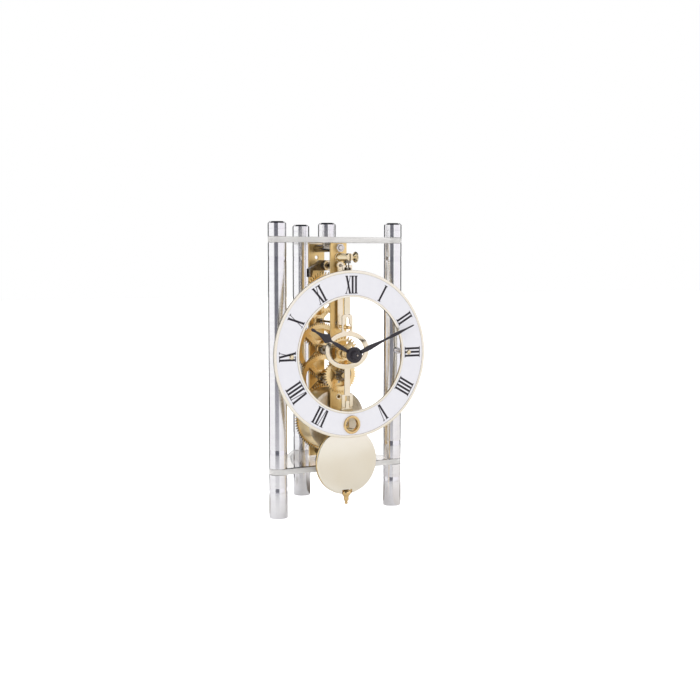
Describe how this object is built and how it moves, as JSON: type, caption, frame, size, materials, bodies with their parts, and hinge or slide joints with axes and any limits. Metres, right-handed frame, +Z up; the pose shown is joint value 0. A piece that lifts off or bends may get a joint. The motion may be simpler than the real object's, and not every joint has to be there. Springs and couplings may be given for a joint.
{
  "type": "table clock",
  "caption": "Skeleton table clock: a pendulum movement hung between clear acrylic shelves on polished posts, behind an open white dial ring with Roman numerals and black spade hands.",
  "frame": {"origin": "centre of the footprint box, on the table", "axes": "+Z up; the dial faces -Y; +X is to the right of someone reading the dial"},
  "size_m": [0.1128, 0.0976, 0.1999],
  "materials": {
    "clear_acrylic": "clear polished",
    "polished_steel": "mirror polished",
    "brass": "polished",
    "dark_steel": "satin",
    "white_enamel": "matte white with printed black numerals",
    "black_lacquer": "satin black"
  },
  "bodies": {
    "stand_and_frame": {"top_plate": "clear_acrylic", "base_plate": "clear_acrylic", "leg_left": "polished_steel", "leg_right": "polished_steel", "leg_rear": "polished_steel", "column_left": "polished_steel", "column_right": "polished_steel", "column_rear": "polished_steel", "cap_left": "polished_steel", "cap_right": "polished_steel", "cap_rear": "polished_steel", "hanger_cap": "polished_steel", "dial_standoff_left": "polished_steel", "dial_standoff_right": "polished_steel", "front_plate": "brass", "back_plate": "brass", "dial_ring": "brass", "winding_eyelet": "brass", "dial_screw_left": "brass", "dial_screw_right": "brass", "suspension_post": "brass", "base_screw": "dark_steel", "bottom_pillar": "dark_steel", "top_pillar": "dark_steel", "bottom_pillar_nut": "dark_steel", "top_pillar_nut": "dark_steel", "suspension_spring": "dark_steel", "click_stud": "dark_steel", "minute_wheel_stud": "dark_steel", "chapter_ring": "white_enamel"},
    "minute": {"centre_wheel": "brass", "centre_arbor": "dark_steel", "cannon_pinion": "brass", "minute_hand": "black_lacquer", "hand_nut": "black_lacquer"},
    "hour": {"hour_wheel": "brass", "hour_hand": "black_lacquer"},
    "minute_wheel": {"minute_wheel": "brass"},
    "intermediate": {"intermediate_wheel": "brass", "intermediate_arbor": "dark_steel"},
    "barrel": {"great_wheel": "brass", "barrel_drum": "brass", "mainspring": "dark_steel"},
    "third": {"third_wheel": "brass", "third_arbor": "dark_steel"},
    "escape": {"escape_wheel": "brass", "escape_arbor": "dark_steel"},
    "winding": {"winding_arbor": "dark_steel", "ratchet_wheel": "dark_steel"},
    "click": {"click": "dark_steel"},
    "pendulum": {"pendulum_leader": "brass", "suspension_chops": "brass", "bob_rod": "brass"},
    "pallets": {"pallet_arbor": "dark_steel", "anchor": "dark_steel", "crutch": "brass"},
    "bob": {"bob": "brass"},
    "rating_nut": {"rating_nut": "brass"},
    "suspension_knob": {"suspension_knob": "brass"}
  },
  "joints": [
    {"name": "minute_turn", "type": "hinge", "parent": "stand_and_frame", "child": "minute", "pos_m": [0, -0.01673, 0.11118], "axis": [0, 1, 0], "continuous": true},
    {"name": "hour_turn", "type": "hinge", "parent": "stand_and_frame", "child": "hour", "pos_m": [0, -0.01673, 0.11118], "axis": [0, 1, 0], "continuous": true},
    {"name": "minute_wheel_turn", "type": "hinge", "parent": "stand_and_frame", "child": "minute_wheel", "pos_m": [0, -0.01673, 0.09598], "axis": [0, 1, 0], "continuous": true},
    {"name": "intermediate_turn", "type": "hinge", "parent": "stand_and_frame", "child": "intermediate", "pos_m": [0, -0.00158, 0.09078], "axis": [0, 1, 0], "continuous": true},
    {"name": "barrel_turn", "type": "hinge", "parent": "stand_and_frame", "child": "barrel", "pos_m": [0, -0.00158, 0.06381], "axis": [0, 1, 0], "continuous": true},
    {"name": "third_turn", "type": "hinge", "parent": "stand_and_frame", "child": "third", "pos_m": [0, -0.00158, 0.13142], "axis": [0, 1, 0], "continuous": true},
    {"name": "escape_turn", "type": "hinge", "parent": "stand_and_frame", "child": "escape", "pos_m": [0, -0.00158, 0.15145], "axis": [0, 1, 0], "continuous": true},
    {"name": "winding_turn", "type": "hinge", "parent": "stand_and_frame", "child": "winding", "pos_m": [0, -0.00158, 0.06381], "axis": [0, 1, 0], "range_deg": [-630, 630]},
    {"name": "click_lift", "type": "hinge", "parent": "stand_and_frame", "child": "click", "pos_m": [0, 0.01827, 0.08031], "axis": [0, 1, 0], "range_deg": [-12, 12]},
    {"name": "pendulum_swing", "type": "hinge", "parent": "stand_and_frame", "child": "pendulum", "pos_m": [0, -0.03313, 0.1706], "axis": [0, 1, 0], "range_deg": [-4, 4]},
    {"name": "pallets_swing", "type": "hinge", "parent": "stand_and_frame", "child": "pallets", "pos_m": [0, -0.01673, 0.1706], "axis": [0, 1, 0], "range_deg": [-4, 4]},
    {"name": "bob_raise", "type": "slide", "parent": "pendulum", "child": "bob", "axis": [0, 0, 1], "range_m": [-0.002, 0.002]},
    {"name": "rating_nut_turn", "type": "hinge", "parent": "bob", "child": "rating_nut", "pos_m": [0, -0.03163, 0.013], "axis": [0, 0, 1], "range_deg": [-1445, 1445]},
    {"name": "suspension_knob_turn", "type": "hinge", "parent": "stand_and_frame", "child": "suspension_knob", "pos_m": [0.0025, -0.03313, 0.1762], "axis": [1, 0, 0], "continuous": true}
  ],
  "couplings": [
    {"joint": "hour_turn", "follows": "minute_turn", "ratio": 0.083333},
    {"joint": "minute_wheel_turn", "follows": "minute_turn", "ratio": -0.25},
    {"joint": "intermediate_turn", "follows": "minute_turn", "ratio": -0.17647},
    {"joint": "barrel_turn", "follows": "minute_turn", "ratio": 0.028676},
    {"joint": "third_turn", "follows": "minute_turn", "ratio": -12},
    {"joint": "escape_turn", "follows": "minute_turn", "ratio": 120},
    {"joint": "pallets_swing", "follows": "pendulum_swing", "ratio": 1},
    {"joint": "rating_nut_turn", "follows": "bob_raise", "rad_per_m": 12566}
  ]
}
